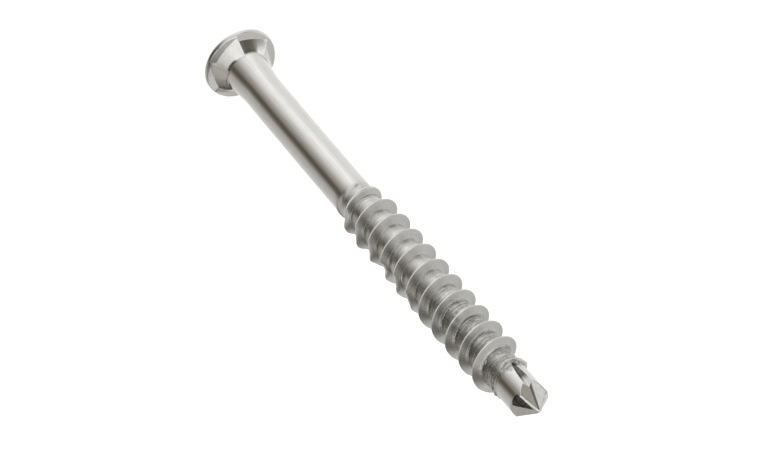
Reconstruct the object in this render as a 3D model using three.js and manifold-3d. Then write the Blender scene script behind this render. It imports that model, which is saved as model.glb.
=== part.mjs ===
// A self-drilling countersunk wood screw, in millimetres.
// +Z runs along the axis from the flat head face (z = 0) to the drill point, so the screw stands
// on its head. It is made as a bi-metal screw is: a stainless body with the head, plain shank and
// upper thread, and a hardened drill tip with the last thread turns, butt-welded on one flat plane.
import * as THREE from "three";
import { mergeVertices } from "three/addons/utils/BufferGeometryUtils.js";
import Module from "manifold-3d";

// Driving dimensions. Lengths in millimetres, angles in degrees.
const overallLength = 60;
const headDiameter = 7.8;
const rimHeight = 0.4; // where the band and the countersink would meet if they were sharp
const coneHalfAngle = 45; // 90 degree countersink
const shoulderRound = 0.8; // radius that rounds the band into the countersink
const neckDiameter = 4.5; // where the countersink meets the neck
const neckEnd = 4.9; // height at which the neck has tapered to the shank
const shankDiameter = 4;
const coreDiameter = 3.7;
const threadDiameter = 5.5;
const threadPitch = 2.55; // right-handed, single start
const threadStart = 23.9;
const threadTailBack = 5.8; // the thread ends this far behind the point
const threadStartAngle = -99; // direction of the ridge where it leaves the shank
const threadHalfAngle = 20; // slope of each flank
const crestWidth = 0.16;
const buriedRoot = 0.15; // how far the ridge's foot lies inside the core
const buriedCrest = 0.1; // how far inside the core its crest starts and ends
const drillRise = 0.25; // least length from the last thread to the full drill barrel
const runInTurns = 1.9; // turns over which the ridge rises from the shank
const runOutTurns = 0.5; // turns over which it sinks into the drill tip
const tipLength = 15.5; // from the weld plane to the point
const drillDiameter = 3.7;
const pointHalfAngle = 52.5;
const fluteLength = 5.5;
const fluteAngle = 120; // opening of the V-shaped flute
const fluteDirection = 222; // direction of the first flute; the second is opposite
const webDiameter = 0.4; // metal left between the two flutes at the point
const gashAngle = 54; // width of the fan-shaped heel gash behind each cutting lip
const gashTurn = 82; // how far the gash is turned from the flute
const gashFall = 0.75; // how much further than the end cone the gash falls to its rim
const recessPointDiameter = 3.9; // six-lobe drive, size 20
const recessFlankDiameter = 2.85;
const recessDepth = 1.9;
const recessLobes = 6;
const pocketCount = 6;
const pocketDirection = 247; // direction of the first pocket's steep wall
const pocketTop = 0.5; // height of each pocket's ledge above the head face
const pocketInset = 3.2; // distance of the pocket floor from the axis at its ledge
const pocketFace = 18; // how far past the wall the floor faces straight out
const pocketWidth = 2.4; // length of the floor from the wall, along the milling cut

const roundSegments = 40;
const shoulderSegments = 3;
const lobeSegments = 6;
const segmentsPerTurn = 24;
const spare = 1; // how far a cutting solid reaches past the metal it cuts

const radians = THREE.MathUtils.degToRad;
const headRadius = headDiameter / 2;
const shankRadius = shankDiameter / 2;
const coreRadius = coreDiameter / 2;
const crestRadius = threadDiameter / 2;
const drillRadius = drillDiameter / 2;
const weldHeight = overallLength - tipLength;
const threadEnd = overallLength - threadTailBack;
const coneEnd = rimHeight + (headRadius - neckDiameter / 2) / Math.tan(radians(coneHalfAngle));
const pointHeight = drillRadius / Math.tan(radians(pointHalfAngle));
const threadTurns = (threadEnd - threadStart) / threadPitch;

const wasm = await Module();
wasm.setup();

// A closed three.js geometry as a manifold solid.
function solid(geometry) {
  const bare = geometry.index ? geometry.toNonIndexed() : geometry.clone();
  bare.deleteAttribute("normal");
  bare.deleteAttribute("uv");
  const merged = mergeVertices(bare, 1e-5);
  return new wasm.Manifold(
    new wasm.Mesh({
      numProp: 3,
      vertProperties: new Float32Array(merged.attributes.position.array),
      triVerts: new Uint32Array(merged.index.array),
    }),
  );
}

// A manifold solid as a named three.js mesh.
function mesh(name, shape, material) {
  const result = shape.getMesh();
  const geometry = new THREE.BufferGeometry();
  geometry.setAttribute("position", new THREE.BufferAttribute(result.vertProperties, 3));
  geometry.setIndex(new THREE.BufferAttribute(result.triVerts, 1));
  geometry.computeVertexNormals();
  const part = new THREE.Mesh(geometry, material);
  part.name = name;
  return part;
}

// A solid of revolution about Z from [radius, height] points that start and end on the axis.
function turned(points) {
  const outline = points.map(([radius, height]) => new THREE.Vector2(radius, height));
  const lathe = new THREE.LatheGeometry(outline, roundSegments);
  lathe.rotateX(Math.PI / 2);
  return solid(lathe);
}

// A prism with the given outline, extruded along Z and then placed by the matrix.
function prism(points, depth, placement) {
  const outline = new THREE.Shape(points.map(([x, y]) => new THREE.Vector2(x, y)));
  const extruded = new THREE.ExtrudeGeometry(outline, { depth, bevelEnabled: false });
  extruded.applyMatrix4(placement);
  return solid(extruded);
}

// The arc, in [radius, height] points, that rounds the head's band into its countersink.
function shoulder() {
  const turn = Math.PI / 2 - radians(coneHalfAngle);
  const centreHeight = rimHeight - shoulderRound * Math.tan(turn / 2);
  return Array.from({ length: shoulderSegments + 1 }, (_, index) => {
    const angle = (turn * index) / shoulderSegments;
    const radius = headRadius - shoulderRound * (1 - Math.cos(angle));
    return [radius, centreHeight + shoulderRound * Math.sin(angle)];
  });
}

// Head, neck, shank, thread core and drill blank as one turned form.
function blank() {
  const coreStart = threadStart + threadPitch;
  return turned([
    [0, 0],
    [headRadius, 0],
    ...shoulder(),
    [neckDiameter / 2, coneEnd],
    [shankRadius, neckEnd],
    [shankRadius, threadStart],
    [coreRadius, coreStart],
    [coreRadius, threadEnd],
    [drillRadius, Math.max(threadEnd + drillRise, overallLength - fluteLength)],
    [drillRadius, overallLength - pointHeight],
    [0, overallLength],
  ]);
}

// How far the ridge has risen, from 0 at the start and end of the thread to 1 in between.
function rise(turn) {
  const up = THREE.MathUtils.clamp(turn / runInTurns, 0, 1);
  const down = THREE.MathUtils.clamp((threadTurns - turn) / runOutTurns, 0, 1);
  return Math.sin((Math.min(up, down) * Math.PI) / 2);
}

// The thread: a trapezoid carried round a helix, its crest rising from inside the core.
function threadRidge() {
  const rootRadius = coreRadius - buriedRoot;
  const steps = Math.ceil(threadTurns * segmentsPerTurn);
  const positions = [];
  const faces = [];
  for (let step = 0; step <= steps; step += 1) {
    const turn = (threadTurns * step) / steps;
    const angle = radians(threadStartAngle) + turn * 2 * Math.PI;
    const height = threadStart + turn * threadPitch;
    const crest = THREE.MathUtils.lerp(coreRadius - buriedCrest, crestRadius, rise(turn));
    const halfCrest = crestWidth / 2;
    const halfRoot = halfCrest + (crestRadius - rootRadius) * Math.tan(radians(threadHalfAngle));
    const section = [
      [rootRadius, height - halfRoot],
      [crest, height - halfCrest],
      [crest, height + halfCrest],
      [rootRadius, height + halfRoot],
    ];
    for (const [radius, z] of section) {
      positions.push(radius * Math.cos(angle), radius * Math.sin(angle), z);
    }
  }
  for (let step = 0; step < steps; step += 1) {
    for (let side = 0; side < 4; side += 1) {
      const a = step * 4 + side;
      const b = step * 4 + ((side + 1) % 4);
      faces.push(a, a + 4, b, b, a + 4, b + 4);
    }
  }
  const last = steps * 4;
  faces.push(0, 1, 2, 0, 2, 3);
  faces.push(last, last + 2, last + 1, last, last + 3, last + 2);
  const ridge = new THREE.BufferGeometry();
  ridge.setAttribute("position", new THREE.Float32BufferAttribute(positions, 3));
  ridge.setIndex(faces);
  return solid(ridge);
}

// The six-lobe drive recess: a blind hole from the head face with a flat floor.
function driveRecess() {
  const mean = (recessPointDiameter + recessFlankDiameter) / 4;
  const wave = (recessPointDiameter - recessFlankDiameter) / 4;
  const count = recessLobes * lobeSegments;
  const outline = Array.from({ length: count }, (_, index) => {
    const angle = (index / count) * 2 * Math.PI;
    const radius = mean + wave * Math.cos(recessLobes * angle);
    return [radius * Math.cos(angle), radius * Math.sin(angle)];
  });
  const placement = new THREE.Matrix4().makeTranslation(0, 0, -spare);
  return prism(outline, recessDepth + spare, placement);
}

// One milling pocket under the head: a ledge, a steep wall along the axis, and a flat floor that
// runs out of the countersink. Its section in (radius, height) is carried sideways from the wall.
function headPocket(index) {
  const foot = neckDiameter / 2;
  const outline = [
    [pocketInset, pocketTop],
    [headRadius + spare, pocketTop],
    [headRadius + spare, coneEnd],
    [foot, coneEnd],
  ];
  const direction = radians(pocketDirection - pocketFace - (index * 360) / pocketCount);
  const toWall = pocketInset * Math.tan(radians(pocketFace));
  const placement = new THREE.Matrix4()
    .makeRotationZ(direction)
    .multiply(new THREE.Matrix4().makeTranslation(0, toWall, 0))
    .multiply(new THREE.Matrix4().makeRotationX(Math.PI / 2));
  return prism(outline, pocketWidth, placement);
}

// A V-shaped groove whose bottom line runs from one (radius, height) point to another in the
// half-plane at the given direction, and which opens outward from the axis.
function groove(opening, from, to, direction) {
  const reach = headDiameter;
  const half = radians(opening / 2);
  const outline = [
    [0, 0],
    [reach * Math.cos(half), -reach * Math.sin(half)],
    [reach * Math.cos(half), reach * Math.sin(half)],
  ];
  const along = new THREE.Vector3(to[0] - from[0], 0, to[1] - from[1]);
  const length = along.length();
  const lean = Math.atan2(along.x, along.z);
  const placement = new THREE.Matrix4()
    .makeRotationZ(radians(direction))
    .multiply(new THREE.Matrix4().makeTranslation(from[0], 0, from[1]))
    .multiply(new THREE.Matrix4().makeRotationY(lean));
  return prism(outline, length + spare, placement);
}

// A flute, deepening from the outside of the drill blank to the web at the point.
function flute(direction) {
  const from = [drillRadius, overallLength - fluteLength];
  return groove(fluteAngle, from, [webDiameter / 2, overallLength], direction);
}

// The heel gash: a fan-shaped hollow in the end cone behind the cutting lip. Its flat floor starts
// near the axis and falls more steeply than the cone, so it is deepest at the rim.
function heelGash(direction) {
  const reach = headDiameter;
  const slope = (pointHeight + gashFall) / drillRadius;
  const halfWidth = reach * Math.tan(radians(gashAngle / 2));
  const outline = [
    [0, 0],
    [reach, -halfWidth],
    [reach, halfWidth],
  ];
  const placement = new THREE.Matrix4()
    .makeRotationZ(radians(direction))
    .multiply(new THREE.Matrix4().makeTranslation(webDiameter, 0, overallLength - webDiameter))
    .multiply(new THREE.Matrix4().makeRotationY(Math.atan(slope)));
  return prism(outline, spare, placement);
}

// Everything on one side of the weld plane.
function slab(bottom, top) {
  return turned([
    [0, bottom],
    [headDiameter, bottom],
    [headDiameter, top],
    [0, top],
  ]);
}

function screwBody(threaded) {
  let body = threaded.intersect(slab(-spare, weldHeight)).subtract(driveRecess());
  for (let index = 0; index < pocketCount; index += 1) {
    body = body.subtract(headPocket(index));
  }
  return body;
}

function drillTip(threaded) {
  let tip = threaded.intersect(slab(weldHeight, overallLength + spare));
  for (const side of [0, 180]) {
    tip = tip.subtract(flute(fluteDirection + side));
    tip = tip.subtract(heelGash(fluteDirection + gashTurn + side));
  }
  return tip;
}

const stainless = new THREE.MeshStandardMaterial({ color: 0xc4c3be, roughness: 0.25, metalness: 1 });
const hardened = new THREE.MeshStandardMaterial({ color: 0xb9b8b2, roughness: 0.3, metalness: 1 });

const threaded = blank().add(threadRidge());
const group = new THREE.Group();
group.add(mesh("screw_body", screwBody(threaded), stainless));
group.add(mesh("drill_tip", drillTip(threaded), hardened));

export default group;
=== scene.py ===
"""A self-drilling countersunk wood screw, standing on its head with the drill point up.

The stainless body and the welded hardened tip are each one worked-out surface. The screw's sizes
are in millimetres, measured from the centre of its head face, and become metres in its meshes.
"""

import math

import bpy
import numpy as np
from mathutils import Matrix, Vector


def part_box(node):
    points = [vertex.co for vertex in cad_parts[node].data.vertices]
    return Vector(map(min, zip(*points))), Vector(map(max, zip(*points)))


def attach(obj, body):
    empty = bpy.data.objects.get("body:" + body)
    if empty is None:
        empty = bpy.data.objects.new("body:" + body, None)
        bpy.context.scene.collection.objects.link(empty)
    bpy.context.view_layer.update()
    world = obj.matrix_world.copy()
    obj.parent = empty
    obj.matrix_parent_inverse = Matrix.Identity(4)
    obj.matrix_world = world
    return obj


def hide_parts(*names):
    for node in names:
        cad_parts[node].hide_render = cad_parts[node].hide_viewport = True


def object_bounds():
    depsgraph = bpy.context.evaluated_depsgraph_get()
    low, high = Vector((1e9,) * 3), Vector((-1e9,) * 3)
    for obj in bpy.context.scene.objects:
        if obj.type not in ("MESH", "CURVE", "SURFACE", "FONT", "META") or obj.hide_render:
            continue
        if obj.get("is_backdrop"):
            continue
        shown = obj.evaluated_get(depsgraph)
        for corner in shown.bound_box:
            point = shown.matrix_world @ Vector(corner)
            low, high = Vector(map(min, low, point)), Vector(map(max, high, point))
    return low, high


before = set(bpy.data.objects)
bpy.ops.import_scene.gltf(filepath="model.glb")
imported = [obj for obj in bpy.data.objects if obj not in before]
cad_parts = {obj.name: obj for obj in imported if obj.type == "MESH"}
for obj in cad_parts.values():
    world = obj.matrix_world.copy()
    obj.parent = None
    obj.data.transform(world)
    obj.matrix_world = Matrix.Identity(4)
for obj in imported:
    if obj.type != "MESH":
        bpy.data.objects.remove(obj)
cad_low, cad_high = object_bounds()
MM = 0.001

# ---------------------------------------------------------------------------------------------
# Camera. It looks down past the drill point towards the head with a long lens, turned so that
# the screw lies across the view from upper left to lower right.
CAMERA_RISE = math.radians(42.55)
CAMERA_TURN = math.radians(49.38)
CAMERA_AWAY = 451.3 * MM
# How far right of and above the lens axis the head face's centre stands.
HEAD_ACROSS = -14.75 * MM
HEAD_UP = 16.28 * MM
LENS = 209.8

rise_sin, rise_cos = math.sin(CAMERA_RISE), math.cos(CAMERA_RISE)
turn_sin, turn_cos = math.sin(CAMERA_TURN), math.cos(CAMERA_TURN)
right = Vector((-turn_sin, rise_sin * turn_cos, rise_cos * turn_cos))
up = -Vector((turn_cos, rise_sin * turn_sin, rise_cos * turn_sin))
back = -Vector((0, rise_cos, -rise_sin))
camera = bpy.data.objects.new("camera", bpy.data.cameras.new("camera"))
bpy.context.scene.collection.objects.link(camera)
camera.data.lens = LENS
camera.data.sensor_width = 36
camera.data.clip_start = 0.01
camera.data.clip_end = 10
station = back * CAMERA_AWAY - right * HEAD_ACROSS - up * HEAD_UP
facing = Matrix((right, up, back)).transposed()
camera.matrix_world = Matrix.Translation(station) @ facing.to_4x4()
bpy.context.scene.camera = camera

# ---------------------------------------------------------------------------------------------
# Screw body. Stainless wire, cold-headed into a 90 degree countersink with six milling pockets and
# a six-lobe drive, then thread-rolled. One closed surface from the recess floor to the weld face.
body_high = np.array(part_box("screw_body")[1]) / MM
HEAD_RADIUS = body_high[0]
WELD = body_high[2]
LENGTH = cad_high[2] / MM
BOW = 0.14
# Head: rim band, round shoulder, 45 degree cone and tapering neck.
RIM_TOP = 0.4
RIM_FILLET = 0.07
SHOULDER = 0.8
NECK_RADIUS = 2.25
NECK_FOOT = RIM_TOP + HEAD_RADIUS - NECK_RADIUS
NECK_END = 4.9
NECK_FILLET = 0.12
NECK_BLEND = 0.05
HEAD_END = 6.0
# Six-lobe recess: across the points, across the flats, depth, and the fillets at floor and mouth.
LOBES = 6
RECESS_POINT, RECESS_FLANK, RECESS_DEPTH = 3.9, 2.85, 1.9
RECESS_FILLET = 0.06
MOUTH_FILLET = 0.12
# Milling pockets. The deep facet stands this far in at the ledge by the rim and nears the axis
# as it goes up. Angles run from the pocket's steep wall: the deep facet's middle, its end, and the
# end of the facet that rises out of the pocket.
POCKETS = 6
POCKET_WALL = math.radians(247)
POCKET_TOP = 0.5
POCKET_INSET = 3.2
POCKET_FALL = 0.72
POCKET_FACE = math.radians(18)
POCKET_EDGE = math.radians(36)
POCKET_RISE_OUT = math.radians(59)
POCKET_BOW = 2.4
POCKET_FILLET = 0.035
FACET_FILLET = 0.03
WALL_HALF = 0.004
LEDGE_RISE = 0.1
LEDGE_SLOPE = 2.75
# Shank and thread. The thread starts 99 degrees short of the +X direction and is right-handed.
SHANK_RADIUS = 2.0
CORE_RADIUS = 1.85
CREST_RADIUS = 2.75
RIDGE = CREST_RADIUS - CORE_RADIUS
PITCH = 2.55
THREAD_START = 23.9
THREAD_END = 54.2
SHANK_END = THREAD_START - 0.8
CREST_AT_ZERO = THREAD_START + PITCH * 99 / 360
RUN_IN = 1.9
RUN_OUT = 0.5
FLANK_SLOPE = math.tan(math.radians(20))
CREST_HALF = 0.06
RIDGE_FOOT = CREST_HALF + RIDGE * FLANK_SLOPE
# The first turn leans on the blank: its side towards the head is flatter by this much.
FIRST_TURN = 1.2
FIRST_LEAN = 2.6
CREST_FILLET = 0.09
RUN_IN_FILLET = 0.3
FOOT_FILLET = 0.05
BLANK_FILLET = 0.06
CREASE_DEPTH = 0.02
CREASE_WIDTH = 0.03
# How far the blank drops out of sight under the rolled core.
BLANK_SUNK = 0.12
# Places on the helix, in turns from its zero, where the dies left the crest short, and how short.
SHORT_SPAN = 0.055
SHORT_CREST = [
    (0.9, 0.36), (1.08, 0.33), (1.91, 0.28), (2.08, 0.42), (2.92, 0.36), (3.06, 0.26),
    (3.95, 0.52), (4.93, 0.36), (5.95, 0.25),
]
# Marks in the surface: direction, height, half length, half width and depth (out is positive).
# A flat spot and the bulge where the thread starts come first, then the pock marks that the
# weld's heat left in the roots, which lie thicker towards the point.
MARKS_START = THREAD_START - 0.6
MARKS = [
    (math.radians(238), 25.05, 0.3, 0.2, -0.1),
    (math.radians(285), 25.15, 0.9, 0.3, 0.13),
]
POCK_COUNT = 240
POCKS_END = 54.9
POCKS_SPREAD = 12.5
pocks = np.random.default_rng(7)
for pock in range(POCK_COUNT):
    MARKS.append((
        pocks.uniform(0, 2 * math.pi),
        POCKS_END - POCKS_SPREAD * pocks.uniform(0, 1) ** 1.5,
        pocks.uniform(0.12, 0.4),
        pocks.uniform(0.06, 0.14),
        pocks.normal(0, 0.035),
    ))


def soft_min(a, b, radius):
    """The smaller of two values, rounded off over the given radius where they cross."""
    share = np.clip(0.5 + 0.5 * (b - a) / radius, 0, 1)
    return b * (1 - share) + a * share - radius * share * (1 - share)


def soft_max(a, b, radius):
    """The larger of two values, rounded off over the given radius where they cross."""
    return -soft_min(-a, -b, radius)


def smooth(low, high, value):
    """0 below low, 1 above high, and an S-shaped step between them."""
    share = np.clip((value - low) / (high - low), 0, 1)
    return share * share * (3 - 2 * share)


def blank_radius(height):
    """Radius of the plain wire: the shank, then out of sight under the rolled core."""
    drop = SHANK_RADIUS - CORE_RADIUS + BLANK_SUNK
    return SHANK_RADIUS - drop * smooth(THREAD_START, THREAD_START + PITCH, height)


def ridge(angle, height):
    """Height of the rolled ridge above the core: the distance along Z to the nearest crest of the
    helix gives flanks of constant slope. The flat top drops and widens where the thread runs in
    and out, so that the foot keeps its width, and a fine crease runs along each foot."""
    crest = CREST_AT_ZERO + PITCH * angle / (2 * np.pi)
    centre = crest + PITCH * np.round((height - crest) / PITCH)
    from_start = (centre - THREAD_START) / PITCH
    to_end = (THREAD_END - centre) / PITCH
    risen = np.sin(np.clip(np.minimum(from_start / RUN_IN, to_end / RUN_OUT), 0, 1) * np.pi / 2)
    travel = (centre - CREST_AT_ZERO) / PITCH
    short = sum(depth * np.exp(-(((travel - at) / SHORT_SPAN) ** 4)) for at, depth in SHORT_CREST)
    top = RIDGE * risen
    half = RIDGE_FOOT - top * FLANK_SLOPE
    aside = np.abs(height - centre)
    first = np.clip(FIRST_TURN - from_start, 0, 1) * (height < centre)
    flank = top + (half - aside) / (FLANK_SLOPE * (1 + FIRST_LEAN * first))
    round_over = CREST_FILLET + RUN_IN_FILLET * (1 - risen)
    tall = soft_max(soft_min(top - short, flank, round_over), 0 * flank, FOOT_FILLET)
    crease = CREASE_DEPTH * np.exp(-(((aside - RIDGE_FOOT - CREASE_DEPTH) / CREASE_WIDTH) ** 2)) * risen
    return np.where(risen > 0, tall - crease, 0)


def dents(angle, height):
    """Small hollows and bumps in the surface: each is a bell shape drawn out along the helix. They
    fade in just before the thread starts, so that the shank stays round."""
    total = 0 * angle * height
    for turn, at, along, across, depth in MARKS:
        around = (np.mod(angle - turn + np.pi, 2 * np.pi) - np.pi) * CORE_RADIUS
        rise = height - at - around * PITCH / (2 * np.pi * CORE_RADIUS)
        total = total + depth * np.exp(-((around / along) ** 2) - (rise / across) ** 2)
    return total * smooth(MARKS_START, THREAD_START, height)


def thread_radius(angle, height):
    """Radius of the rolled thread: the ridge on the core, or the blank where it stands higher."""
    rolled = soft_max(CORE_RADIUS + ridge(angle, height), blank_radius(height), BLANK_FILLET)
    return rolled + dents(angle, height)


def bowed_facet(deep, past):
    """Radius of a facet that bows out a little: a circle POCKET_BOW times as big as its distance
    from the axis, with its centre on the far side of the axis."""
    aside = past - POCKET_FACE
    centre = deep * (POCKET_BOW - 1)
    circle = np.sqrt((POCKET_BOW * deep) ** 2 - (centre * np.sin(aside)) ** 2)
    return circle - centre * np.cos(aside)


def pocket_radius(angle, height):
    """Radius of the milled pockets; far out where none is cut. Past each steep wall lie two facets:
    a deep bowed one, and one that rises out to the next wall, the straight line through its two
    end points in polar form. By the rim a sloping ledge ends them both."""
    span = 2 * np.pi / POCKETS
    past = np.mod(POCKET_WALL - angle, span)
    past = np.where(past > span - 3 * WALL_HALF, past - span, past)
    deep = POCKET_INSET - POCKET_FALL * (height - POCKET_TOP)
    facet = bowed_facet(deep, past)
    low_end = bowed_facet(deep, POCKET_EDGE)
    high_end = HEAD_RADIUS + RIM_TOP - height
    rising = low_end * high_end * np.sin(POCKET_RISE_OUT - POCKET_EDGE) / (
        low_end * np.sin(past - POCKET_EDGE) + high_end * np.sin(POCKET_RISE_OUT - past)
    )
    wall = smooth(-WALL_HALF, WALL_HALF, past)
    ledge = np.maximum(POCKET_TOP + LEDGE_RISE - height, 0) * LEDGE_SLOPE
    return soft_min(facet, rising, FACET_FILLET) + ledge + (1 - wall) * HEAD_RADIUS


def head_radius(angle, height):
    """Radius of the head's side: rim band, round shoulder, 45 degree cone and tapering neck, less
    the pockets. The shoulder is a circle's arc that meets the band and the cone smoothly."""
    arc_centre = RIM_TOP - SHOULDER * math.tan(math.pi / 8)
    rise = np.clip((height - arc_centre) / SHOULDER, 0, math.sin(math.pi / 4))
    arc = HEAD_RADIUS - SHOULDER * (1 - np.sqrt(1 - rise ** 2))
    side = np.minimum(arc, HEAD_RADIUS + RIM_TOP - height)
    neck = NECK_RADIUS - (NECK_RADIUS - SHANK_RADIUS) * (height - NECK_FOOT) / (NECK_END - NECK_FOOT)
    neck = soft_max(neck, SHANK_RADIUS + 0 * height, NECK_BLEND)
    cone = soft_min(side, pocket_radius(angle, height), POCKET_FILLET)
    return soft_max(cone, neck, NECK_FILLET)


def lobe_radius(angle):
    """Outline of the drive recess: a circle with equal waves on it, one for each lobe."""
    mean, wave = (RECESS_POINT + RECESS_FLANK) / 4, (RECESS_POINT - RECESS_FLANK) / 4
    return mean + wave * np.cos(LOBES * angle)


COLUMNS = 288
SHANK_ROWS = 16
CROWDING = 0.86


def columns(walls, first):
    """Directions round the axis for one full turn, drawn together at each of the equal walls by
    taking a sine wave away from even steps."""
    even = np.arange(COLUMNS + 1) / COLUMNS
    phase = even * walls * 2 * np.pi
    offset = np.mod(first, 2 * np.pi / walls)
    pulled = even - CROWDING * np.sin(phase) / (walls * 2 * np.pi)
    return pulled * 2 * np.pi + offset


def points(radius, angle, height):
    """Cylindrical coordinates in millimetres as an array of points. The wire has a slight bow: the
    fourth power of the distance from mid-length carries both ends to the -X side."""
    radius, angle, height = np.broadcast_arrays(radius, angle, height)
    bow = BOW * (2 * height / LENGTH - 1) ** 4
    return np.stack([radius * np.cos(angle) - bow, radius * np.sin(angle), height], axis=-1)


def helix_rows(low, high, angle, offsets):
    """Heights that follow the thread: every row keeps its place on the ridge's section and climbs
    one pitch per turn, and is held between the low and the high plane at the two ends."""
    base = CREST_AT_ZERO - PITCH / 2 + PITCH * angle[0] / (2 * np.pi)
    turn = (angle - angle[0]) / (2 * np.pi)
    first = math.floor((low - base) / PITCH) - 1
    last = math.ceil((high - base) / PITCH)
    whole = np.arange(first, last + 1)[:, None] + offsets[None, :]
    return np.clip(base + PITCH * (whole.reshape(-1, 1) + turn[None, :]), low, high)


def section_rows():
    """Places across one pitch, close together on the crest and at the foot of each flank."""
    crest = np.array([0, 0.03, 0.05, 0.07, 0.09, 0.115, 0.15])
    flank = np.array([0.2, 0.27, 0.33, 0.37])
    foot = np.arange(0.4, 0.5, 0.024)
    root = np.arange(0.54, PITCH / 2, 0.1)
    half = np.concatenate([crest, flank, foot, root])
    return np.concatenate([-half[::-1], half[1:]]) / PITCH + 0.5


def grid_faces(shape, start):
    """Two triangles for each cell of a grid whose points are numbered row by row."""
    rows, count = shape
    number = start + np.arange(rows * count).reshape(rows, count)
    a, b = number[:-1, :-1].ravel(), number[:-1, 1:].ravel()
    c, d = number[1:, 1:].ravel(), number[1:, :-1].ravel()
    return np.concatenate([np.stack([a, b, c], 1), np.stack([a, c, d], 1)])


STEPS_PER_MM = 2e4
SHARP = math.radians(38)


def surface(name, grids, seams, values):
    """Joins grids of points into one closed mesh: equal points are made one, and triangles that
    close up to nothing are dropped. A seam joins one grid's last row to the first row of another
    that has half as many points."""
    place = np.concatenate([grid.reshape(-1, 3) for grid in grids])
    starts = np.cumsum([0] + [grid.shape[0] * grid.shape[1] for grid in grids])
    faces = [grid_faces(grid.shape[:2], start) for grid, start in zip(grids, starts)]
    for fine, coarse in seams:
        upper = starts[fine + 1] - grids[fine].shape[1]
        lower = starts[coarse]
        step = np.arange(grids[coarse].shape[1] - 1)
        f0, f1, f2 = upper + 2 * step, upper + 2 * step + 1, upper + 2 * step + 2
        c0, c1 = lower + step, lower + step + 1
        faces += [np.stack(three, 1) for three in ((f0, f1, c0), (f1, c1, c0), (f1, f2, c1))]
    steps = np.round(place * STEPS_PER_MM).astype(np.int64)
    first, same = np.unique(steps, axis=0, return_index=True, return_inverse=True)[1:]
    faces = same.reshape(-1)[np.concatenate(faces)]
    a, b, c = faces.T
    faces = faces[(a != b) & (b != c) & (c != a)]
    mesh = bpy.data.meshes.new(name)
    mesh.from_pydata(place[first] * MM, [], faces)
    for label, value in values.items():
        layer = mesh.attributes.new(label, "FLOAT", "POINT")
        flat = np.concatenate([np.broadcast_to(v, g.shape[:2]).ravel() for v, g in zip(value, grids)])
        layer.data.foreach_set("value", flat[first].astype(np.float32))
    mesh.polygons.foreach_set("use_smooth", np.ones(len(mesh.polygons), dtype=bool))
    mesh.set_sharp_from_angle(angle=SHARP)
    mesh.validate()
    piece = bpy.data.objects.new(name, mesh)
    bpy.context.scene.collection.objects.link(piece)
    return piece


def body_grids():
    """The body's three grids: recess, face and head; plain shank; thread up to the weld face. Also
    how far the ridge is raised on the third, from 0 to 1."""
    angle = columns(POCKETS, POCKET_WALL)
    lobe = lobe_radius(angle)
    share = np.array([0, 0.3, 0.6, 0.85, 0.94])[:, None]
    floor = points(share * lobe, angle, RECESS_DEPTH)
    depth = RECESS_DEPTH - np.array([0, 0.03, 0.1, 0.3, 0.6, 0.9, 1.2, 1.5, 1.7, 1.8])[:, None]
    narrow = RECESS_FILLET * smooth(RECESS_DEPTH - 2 * RECESS_FILLET, RECESS_DEPTH, depth)
    wall = points(lobe - narrow, angle, depth)
    widen = MOUTH_FILLET * np.array([0.25, 2 / 3, 1])[:, None]
    mouth = points(lobe + widen, angle, MOUTH_FILLET * np.array([1 / 3, 1 / 12, 0])[:, None])
    across = np.array([0.15, 0.35, 0.6, 0.85, 1])[:, None]
    inner = lobe + MOUTH_FILLET
    face = points(inner + across * (HEAD_RADIUS - RIM_FILLET - inner), angle, 0)
    corner = np.linspace(0, np.pi / 2, 6)[1:, None]
    edge = points(
        HEAD_RADIUS - RIM_FILLET * (1 - np.sin(corner)), angle, RIM_FILLET * (1 - np.cos(corner))
    )
    height = np.concatenate([
        np.arange(0.12, POCKET_TOP + 0.16, 0.02),
        np.arange(POCKET_TOP + 0.18, NECK_FOOT - 0.2, 0.05),
        np.arange(NECK_FOOT - 0.2, NECK_FOOT + 0.3, 0.025),
        np.arange(NECK_FOOT + 0.35, HEAD_END, 0.2),
    ])[:, None]
    side = points(head_radius(angle, height), angle, height)
    head = np.concatenate([floor, wall, mouth, face, edge, side])
    sparse = angle[::2]
    rows = np.linspace(HEAD_END, SHANK_END, SHANK_ROWS)[:, None]
    shank = points(SHANK_RADIUS, sparse, rows)
    climb = helix_rows(SHANK_END, WELD, sparse, section_rows())
    thread = points(thread_radius(sparse, climb), sparse, climb)
    centre = points(0 * sparse, sparse, WELD)[None]
    raised = ridge(sparse, climb) / RIDGE
    raised = np.clip(np.concatenate([raised, raised[-1:]]), 0, 1)
    return [head, shank, np.concatenate([thread, centre])], raised


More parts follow.
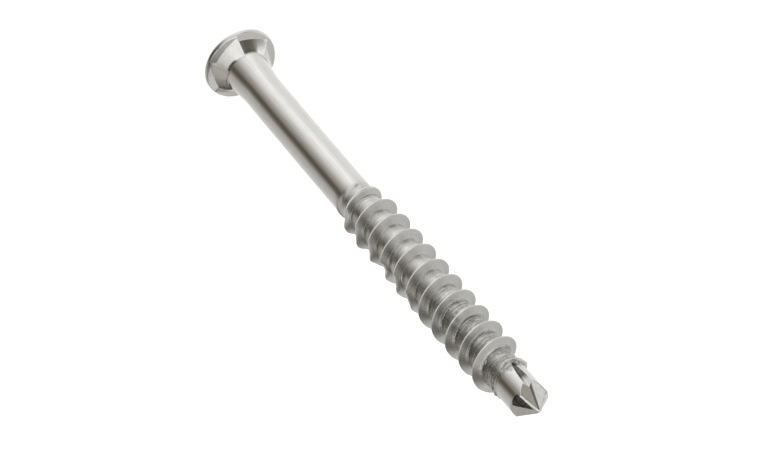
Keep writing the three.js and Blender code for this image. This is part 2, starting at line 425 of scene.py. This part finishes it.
class Shade:
    """A socket in a shader tree. Arithmetic on it adds Math nodes, and node() adds any other."""

    def __init__(self, tree, socket=None):
        self.tree = tree
        self.socket = socket

    def node(self, kind, settings, inputs, output=0):
        """Adds a node: its settings, a ramp's stops among them, then its inputs by place or name.
        Returns one of its outputs."""
        made = self.tree.nodes.new(kind)
        for label, value in settings.items():
            if label == "stops":
                while len(made.color_ramp.elements) < len(value):
                    made.color_ramp.elements.new(0.5)
                for element, (position, colour) in zip(made.color_ramp.elements, value):
                    element.position = position
                    element.color = (*colour, 1)
            else:
                setattr(made, label, value)
        named = inputs.items() if isinstance(inputs, dict) else enumerate(inputs)
        for label, value in named:
            if isinstance(value, Shade):
                self.tree.links.new(value.socket, made.inputs[label])
            else:
                made.inputs[label].default_value = value
        return Shade(self.tree, made.outputs[output]) if len(made.outputs) else None

    def spread(self, low, high, first=0.0, last=1.0, interpolation="LINEAR"):
        """Maps low to first and high to last, and holds the value past either end."""
        kind = {"interpolation_type": interpolation}
        return self.node("ShaderNodeMapRange", kind, [self, low, high, first, last])

    def mix(self, first, second):
        """The first colour where this socket is 0 and the second where it is 1."""
        return self.node("ShaderNodeMix", {"data_type": "RGBA"}, {0: self, 6: first, 7: second}, 2)

    def noise(self, per_millimetre, detail):
        """Cloudy noise from 0 to 1 on this socket's coordinates."""
        inputs = {"Vector": self, "Scale": per_millimetre / MM, "Detail": detail}
        return self.node("ShaderNodeTexNoise", {}, inputs)

    def __add__(self, other):
        return self.node("ShaderNodeMath", {"operation": "ADD"}, [self, other])

    def __sub__(self, other):
        return self.node("ShaderNodeMath", {"operation": "SUBTRACT"}, [self, other])

    def __rsub__(self, other):
        return self.node("ShaderNodeMath", {"operation": "SUBTRACT"}, [other, self])

    def __mul__(self, other):
        return self.node("ShaderNodeMath", {"operation": "MULTIPLY"}, [self, other])

    __radd__ = __add__
    __rmul__ = __mul__


# Heights between which the finish changes: from the rolled thread to the ground point, from cold
# to heated by the weld, and into and out of a duller patch where the thread begins.
GROUND = (54.8, 55.6)
HEATED = (38.0, 46.0)
DULLED = (24.5, 25.1)
DULL_END = (25.4, 26.2)
CLEAN_STEEL = (0.66, 0.655, 0.635, 1)
# Near black, painted on as shade in the first flute, round the pit and in the heel gashes.
PAINTED_SHADE_COLOUR = (0.035, 0.034, 0.03, 1)


def steel(name, dirty):
    """Rolled steel that turns to the dirty colour in its stains. Fine lines run along the wire on
    the plain shank; on the thread they follow the helix, by turning the point about Z as it climbs.
    Flanks are matt, crests rubbed bright. The mesh's own values say how far the ridge is raised and
    where shade is painted on in near black; heights are in millimetres."""
    material = bpy.data.materials.new(name)
    material.use_nodes = True
    material.node_tree.nodes.clear()
    start = Shade(material.node_tree)
    place = start.node("ShaderNodeTexCoord", {}, [], "Object")
    height = start.node("ShaderNodeSeparateXYZ", {}, [place], "Z") * (1 / MM)
    raised = start.node("ShaderNodeAttribute", {"attribute_name": "raised"}, [], "Fac")
    burnt = start.node("ShaderNodeAttribute", {"attribute_name": "burnt"}, [], "Fac")
    turn = {"Vector": place, "Angle": height * (-2 * math.pi / PITCH)}
    unwound = start.node("ShaderNodeVectorRotate", {"rotation_type": "Z_AXIS"}, turn)
    drawn_out = start.node("ShaderNodeVectorMath", {"operation": "MULTIPLY"}, [place, (1.0, 1.0, 0.05)])
    # Rolling lines along the helix, drawing lines along the wire, wide clouds and fine grit.
    rolled = unwound.noise(2.3, 3.0)
    drawn = drawn_out.noise(5.2, 3.0)
    cloud = place.noise(0.62, 3.0)
    grit = place.noise(3.6, 4.0)
    # Where on the screw: the thread, all but the ground point, and the weld's heat; then where on
    # the ridge, and the streaks and blots of scale that lie in its roots.
    threaded = height.spread(THREAD_START - 0.4, THREAD_START + 2.3)
    unground = height.spread(*GROUND, 1.0, 0.0)
    heated = height.spread(*HEATED)
    root = raised.spread(0.02, 0.3, 1.0, 0.0) * threaded * unground
    flank = raised.spread(0.1, 0.3)
    crest = raised.spread(0.9, 0.98)
    streak = rolled.spread(0.36, 0.64)
    blot = grit.spread(0.44, 0.64) * heated * root
    stain = streak * root * (heated * 0.35 + 0.55) + blot * 0.45
    stain = stain + (drawn - 0.5) * 0.5 + (cloud - 0.4) * 0.25 + flank * 0.15 - crest * 0.4
    colour = stain.mix(CLEAN_STEEL, dirty)
    # Painted shade: where the mesh's value says so, the colour turns near black, with grit breaking it
    # up.
    colour = (burnt * (grit * 0.5 + 0.68)).mix(colour, PAINTED_SHADE_COLOUR)
    dulled = height.spread(*DULLED, 0.0, 0.22) * height.spread(*DULL_END, 1.0, 0.0)
    rough = dulled + cloud * 0.08 + drawn * 0.08 + flank * 0.1 - crest * 0.12
    rough = rough + root * streak * 0.12 + blot * 0.1 + 0.1
    dent = rolled * root * (heated * 0.6 + 0.5) + grit * heated * root * 0.6 + drawn * 0.1
    relief = {"Strength": 0.5, "Distance": 0.09 * MM, "Height": dent}
    bump = start.node("ShaderNodeBump", {}, relief)
    look = {"Base Color": colour, "Metallic": 1.0, "Roughness": rough, "Normal": bump}
    shader = start.node("ShaderNodeBsdfPrincipled", {}, look)
    start.node("ShaderNodeOutputMaterial", {}, {"Surface": shader})
    return material


grids, raised = body_grids()
body = surface("body_surface", grids, [(0, 1)], {"raised": [0, 0, raised]})
body.data.materials.append(steel("stainless", (0.36, 0.355, 0.335, 1)))
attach(body, "root")
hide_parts("screw_body")

# ---------------------------------------------------------------------------------------------
# Drill tip. Hardened steel, welded to the body and rolled with the last thread turns; two V
# flutes, two lips and two heel gashes are pressed and ground into the point.
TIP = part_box("drill_tip")[1][2] / MM
DRILL_RADIUS = 1.85
# The end cone falls by this much for each millimetre outward, more or less by the tilt, because
# the point leans.
POINT_SLOPE = 0.8
POINT_TILT = 0.13
POINT_EDGE = 0.03
RELIEF_EDGE = 0.02
# Each flute is a long shallow groove and a short steep cut at the point: direction, the angles of
# its left and right walls, radius and height where the bottom line starts and ends, and how dark
# the painted shade in it is. The groove rises out steeply between the two heights at its start.
FLUTE_TURN = math.radians(222)
FLUTE_CUTS = [
    (math.radians(232), math.radians(60), math.radians(60), (1.8, 54.2), (1.5, 57.2), 0.9),
    (math.radians(225), math.radians(86), math.radians(72), (1.8, 57.2), (0.12, 60.0), 0.0),
]
FLUTE_START, FLUTE_OPEN = 54.35, 54.6
FLUTE_RISE = 9.0
FLUTE_FILLET = 0.08
FLUTE_EDGE = 0.025
TOUCH = 0.01
# Heights over which the painted shade in the flutes fades out towards the point.
SHADE_PAINT_FADE, SHADE_PAINT_END = 56.2, 57.1
# Each lip lies behind its flute and has a relief plane that leans off it. Each heel gash is a
# three-sided cut that starts beside the web, the metal that the flutes leave on the axis.
LIP_TURN = FLUTE_TURN - math.radians(38)
RELIEF_LEAN = math.radians(35)
GASH_TURN = FLUTE_TURN + math.radians(82)
GASH_HALF = math.radians(27)
GASH_FALL = 0.5
GASH_FILLET = 0.04
GASH_EDGE = 0.05
WEB = 0.2
# The cutter left a pit with a bright fleck of metal in it at the first flute's start, a dent, and
# a torn burr behind the last turn.
PIT = (math.radians(220), 54.6)
FLECK = (math.radians(215), 54.68)
MARKS += [
    (math.radians(253), 55.3, 0.24, 0.2, -0.09),
    (*PIT, 0.38, 0.24, -0.5),
    (*FLECK, 0.12, 0.1, 0.34),
    (math.radians(350), 55.2, 0.25, 0.2, 0.22),
    (math.radians(340), 54.75, 0.2, 0.16, 0.14),
    (math.radians(352), 55.7, 0.2, 0.14, 0.08),
]
# Rays fan out to the point from this height on the axis, from level to upright. A ray that meets
# nothing goes FAR.
EYE = 56.9
FAR = 99.0
FAN_ROWS = 110
BARREL_ROWS = 26
UPRIGHT = 1.55


def plane_ahead(origin, slope, angle, normal, through):
    """For a ray from a point on the axis: how far a plane lies ahead of the point, and how much of
    each step along the ray goes towards it, both measured along the plane's normal."""
    direction = np.stack([
        np.cos(slope) * np.cos(angle),
        np.cos(slope) * np.sin(angle),
        np.sin(slope) + 0 * angle,
    ], axis=-1)
    start = np.stack([0 * slope * angle, 0 * slope * angle, origin + 0 * slope * angle], axis=-1)
    toward = direction @ normal
    gap = (np.array(through) - start) @ normal
    return gap, toward


def entry(origin, slope, angle, normals, through, rounding):
    """Distance at which a ray from the axis enters the wedge on the far side of every plane."""
    reach = 0 * slope * angle
    for normal in normals:
        gap, toward = plane_ahead(origin, slope, angle, normal, through)
        outside = gap > 0
        distance = np.where(toward > 1e-6, gap / np.maximum(toward, 1e-6), FAR)
        reach = soft_max(reach, np.where(outside, distance, 0), rounding)
    return reach


def turned(turn):
    """Matrix that turns a point about the screw's axis."""
    cosine, sine = np.cos(turn), np.sin(turn)
    return np.array([[cosine, -sine, 0], [sine, cosine, 0], [0, 0, 1]])


def flute_planes(turn, left, right, start, end):
    """Unit normals of a cut's two walls, and a point on its bottom line. The walls stand at the
    given angles from the outward direction on either side; the normals point into the cut."""
    start = np.array([start[0], 0, start[1]])
    along = np.array([end[0], 0, end[1]]) - start
    along = along / np.linalg.norm(along)
    outward = np.array([along[2], 0, -along[0]])
    side = np.array([0, 1, 0])
    left_wall = np.sin(left) * outward - np.cos(left) * side
    right_wall = np.sin(right) * outward + np.cos(right) * side
    return [turned(turn) @ wall for wall in (left_wall, right_wall)], turned(turn) @ start


def gash_planes(turn):
    """Unit normals of the heel gash: a falling floor and two upright sides, meeting near the axis."""
    fall = POINT_SLOPE + GASH_FALL / DRILL_RADIUS
    floor = np.array([fall, 0, 1]) / math.hypot(fall, 1)
    sides = [np.array([np.sin(GASH_HALF), sign * np.cos(GASH_HALF), 0]) for sign in (-1, 1)]
    start = np.array([2 * WEB, 0, TIP - 2 * WEB])
    return [turned(turn) @ normal for normal in [floor] + sides], turned(turn) @ start


def tip_reach(origin, slope, angle):
    """Distance from a point on the axis to the tip's surface: the nearest of the threaded barrel,
    the end cone with its relief planes, the flutes and the heel gashes. Also how dark its painted shade
    is."""
    flat = np.abs(slope) < 1e-9
    barrel = np.where(flat, thread_radius(angle, origin), DRILL_RADIUS)
    barrel = barrel / np.cos(np.minimum(slope, UPRIGHT))
    fall = POINT_SLOPE - POINT_TILT * np.cos(angle - LIP_TURN)
    cone = (TIP - origin) / (np.sin(slope) + fall * np.cos(slope))
    reach = soft_min(barrel, np.where(cone > 0, cone, FAR), POINT_EDGE)
    burnt = 0 * reach
    for half_turn in (0, np.pi):
        lean = LIP_TURN + half_turn - RELIEF_LEAN
        steep = (POINT_SLOPE - POINT_TILT * math.cos(half_turn)) / math.cos(RELIEF_LEAN)
        fall = np.sin(slope) + steep * np.cos(slope) * np.cos(angle - lean)
        facet = np.where(fall > 1e-3, (TIP - origin) / np.maximum(fall, 1e-3), FAR)
        reach = soft_min(reach, facet, RELIEF_EDGE)
        for turn, left, right, start, end, shade_paint in FLUTE_CUTS:
            walls, through = flute_planes(turn + half_turn, left, right, start, end)
            cut = entry(origin, slope, angle, walls, through, FLUTE_FILLET)
            top = origin + np.minimum(cut, FAR) * np.sin(slope)
            cut = cut + FLUTE_RISE * (1 - smooth(FLUTE_START, FLUTE_OPEN, top))
            # Painted shade: the flute's own surface is darkened, fading out towards the point.
            shaded_cut = (cut < reach + TOUCH) * (1 - smooth(SHADE_PAINT_FADE, SHADE_PAINT_END, top))
            burnt = np.maximum(burnt, shade_paint * shaded_cut)
            reach = soft_min(reach, cut, FLUTE_EDGE)
        walls, through = gash_planes(GASH_TURN + half_turn)
        gash = entry(origin, slope, angle, walls, through, GASH_FILLET)
        # Painted shade: the heel gash is darkened to near black, because its depth keeps it in shadow.
        burnt = burnt + (gash < reach + TOUCH)
        reach = soft_min(reach, gash, GASH_EDGE)
    return reach, burnt


def spot(angle, height, place, along, across, power):
    """1 at a place on the barrel, fading to 0 outside the oval of the given half axes."""
    around = (angle - place[0]) * DRILL_RADIUS / along
    rise = (height - place[1]) / across
    return np.exp(-((around ** 2 + rise ** 2) ** power))


def tip_grid():
    """The tip's grid: thread from the weld face, then rays fanned from the eye to the point. Also
    how far the ridge is raised and how dark the painted shade is at each of its points."""
    angle = columns(2, FLUTE_TURN)
    climb = helix_rows(WELD, EYE - 1.2, angle, section_rows())
    barrel = np.linspace(EYE - 1.15, EYE, BARREL_ROWS)[:, None] + 0 * angle[None, :]
    level = np.concatenate([climb, barrel])
    wide = angle[None, :] + 0 * level
    reach, burnt = tip_reach(level, 0 * level, wide)
    thread = points(reach, angle, level)
    centre = points(0 * angle, angle, WELD)[None]
    slope = np.linspace(0, np.pi / 2, FAN_ROWS)[1:, None] + 0 * angle[None, :]
    reach, fan_shade = tip_reach(EYE, slope, angle[None, :] + 0 * slope)
    fan = points(reach * np.cos(slope), angle, EYE + reach * np.sin(slope))
    fan[-1] = np.mean(fan[-1], axis=0)
    # Painted shade: a dark oval round the pit, with the fleck in it left bright.
    pit = spot(wide, level, PIT, 0.42, 0.26, 2) * (1 - spot(wide, level, FLECK, 0.13, 0.1, 1))
    burnt = np.concatenate([burnt[:1], np.maximum(burnt, pit), fan_shade])
    raised = np.zeros(burnt.shape)
    raised[1:1 + len(level)] = ridge(angle, level) / RIDGE
    raised[0] = raised[1]
    return np.concatenate([centre, thread, fan]), raised, burnt


# The tip's mesh carries its painted shade as a value at each point for the material.
grid, raised, burnt = tip_grid()
tip = surface("tip_surface", [grid], [], {"raised": [raised], "burnt": [burnt]})
tip.data.materials.append(steel("hardened", (0.3, 0.295, 0.275, 1)))
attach(tip, "root")
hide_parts("drill_tip")

# ---------------------------------------------------------------------------------------------
# Studio: a plain pale floor and an even white room with soft darker flags for the metal to show.
bpy.ops.mesh.primitive_circle_add(vertices=128, radius=2.2, fill_type="NGON")
floor = bpy.context.object
floor.name = "floor"
paper = bpy.data.materials.new("paper")
paper.use_nodes = True
matt = paper.node_tree.nodes["Principled BSDF"].inputs
matt["Base Color"].default_value = (0.9, 0.9, 0.9, 1)
matt["Roughness"].default_value = 1
matt["Specular IOR Level"].default_value = 0
floor.data.materials.append(paper)
floor.visible_glossy = False
floor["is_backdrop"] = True

world = bpy.data.worlds.new("studio")
bpy.context.scene.world = world
world.use_nodes = True
world.node_tree.nodes.clear()
room = Shade(world.node_tree)
direction = room.node("ShaderNodeTexCoord", {}, [], "Generated")
x, y, z = (room.node("ShaderNodeSeparateXYZ", {}, [direction], axis) for axis in "XYZ")
# From 0 to 1 once round the screw, and 0.5 on the camera's side.
around = room.node("ShaderNodeMath", {"operation": "ARCTAN2"}, [x * -1.0, y * -1.0])
around = around * (1 / (2 * math.pi)) + 0.5
# The room's walls by elevation: each ring has its own brightness at some directions round it, in
# degrees from the camera's side. Light cards and dark flags are where the brightness jumps.
RINGS = [
    (-34, [
        (-180, 1.05), (-128, 0.77), (-95, 0.64), (-74, 0.56), (-62, 0.3), (-50, 0.13),
        (-36, 0.13), (-24, 0.34), (-8, 0.52), (8, 0.8), (26, 1.1), (50, 1.35), (64, 1.2),
        (82, 1.04), (110, 1.02), (180, 1.1),
    ]),
    (-14, [
        (-180, 0.5), (-165, 0.12), (-140, 0.1), (-112, 0.15), (-95, 0.45), (-75, 0.3), (-55, 0.1),
        (-10, 0.1), (4, 0.5), (14, 0.95), (35, 1.0), (55, 1.0), (70, 0.8), (86, 0.8), (110, 0.9),
        (180, 0.8),
    ]),
    (0, [
        (-180, 0.6), (-125, 0.5), (-100, 0.55), (-75, 0.25), (-55, 0.1), (-18, 0.1), (-4, 0.9),
        (12, 0.85), (28, 0.8), (52, 0.75), (60, 0.45), (72, 0.4), (86, 0.6), (98, 1.1), (120, 0.8),
        (150, 0.85), (180, 0.6),
    ]),
    (11, [
        (-180, 0.6), (-125, 0.6), (-100, 0.6), (-75, 0.25), (-55, 0.1), (-24, 0.12), (-6, 1.1),
        (6, 1.1), (28, 1.1), (46, 0.9), (57, 0.1), (66, 0.06), (76, 0.14), (86, 0.35), (91, 0.5),
        (97, 1.5), (106, 1.3), (120, 0.8), (150, 0.8), (180, 0.5),
    ]),
    (26, [
        (-180, 0.5), (-160, 0.85), (-138, 0.8), (-110, 0.5), (-95, 0.5), (-75, 0.15), (-62, 0.05),
        (-50, 0.4), (-40, 1.1), (0, 1.3), (40, 1.3), (52, 0.7), (60, 0.16), (74, 0.2), (88, 0.7),
        (98, 1.2), (112, 0.8), (149, 0.75), (180, 0.5),
    ]),
    (43, [
        (-180, 0.5), (-160, 0.65), (-143, 0.9), (-131, 0.25), (-112, 0.2), (-88, 0.5), (-60, 0.9),
        (0, 1.2), (60, 1.1), (90, 0.9), (130, 0.72), (160, 0.7), (180, 0.5),
    ]),
    (60, [
        (-180, 0.65), (-160, 0.7), (-146, 0.6), (-136, 0.03), (-116, 0.03), (-92, 0.7), (-60, 1.0),
        (0, 1.2), (60, 1.2), (90, 0.78), (130, 0.72), (180, 0.65),
    ]),
    (70, [
        (-180, 0.6), (-150, 0.5), (-138, 0.03), (-116, 0.03), (-95, 0.6), (-60, 1.0), (60, 1.1),
        (120, 0.75), (180, 0.6),
    ]),
    (82, [(-180, 0.7), (180, 0.7)]),
]


def studio_colour(value):
    """Dark parts of the studio are warmer: red stays, green and blue fall with the darkness."""
    dark = min(max((0.75 - value) / 0.55, 0), 1)
    return value, value * (1 - 0.09 * dark), value * (1 - 0.26 * dark)


def ring_colour(stops):
    """Colour of one ring of the room by direction."""
    colours = [((turn + 180) / 360, studio_colour(value)) for turn, value in stops]
    return room.node("ShaderNodeValToRGB", {"stops": colours}, [around])


levels = [math.sin(math.radians(elevation)) for elevation, stops in RINGS]
rings = [ring_colour(stops) for elevation, stops in RINGS]
walls = rings[0]
for low, high, above in zip(levels, levels[1:], rings[1:]):
    walls = z.spread(low, high, interpolation="SMOOTHSTEP").mix(walls, above)
# The camera itself sees plain white behind the screw.
seen = room.node("ShaderNodeLightPath", {}, [], "Is Camera Ray").mix(walls, (1.0, 1.0, 1.0, 1))
background = room.node("ShaderNodeBackground", {}, [seen, 1.0])
room.node("ShaderNodeOutputWorld", {}, [background])

lamp_data = bpy.data.lights.new("overhead", "AREA")
lamp_data.shape = "DISK"
lamp_data.size = 2.4
lamp_data.energy = 52.0
lamp = bpy.data.objects.new("overhead", lamp_data)
lamp.location = (0.4, -0.4, 2.4)
lamp.rotation_euler = (0.15, 0.15, 0)
lamp.visible_camera = False
lamp.visible_glossy = False
bpy.context.scene.collection.objects.link(lamp)
bpy.context.scene.view_settings.view_transform = "Standard"

low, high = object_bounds()
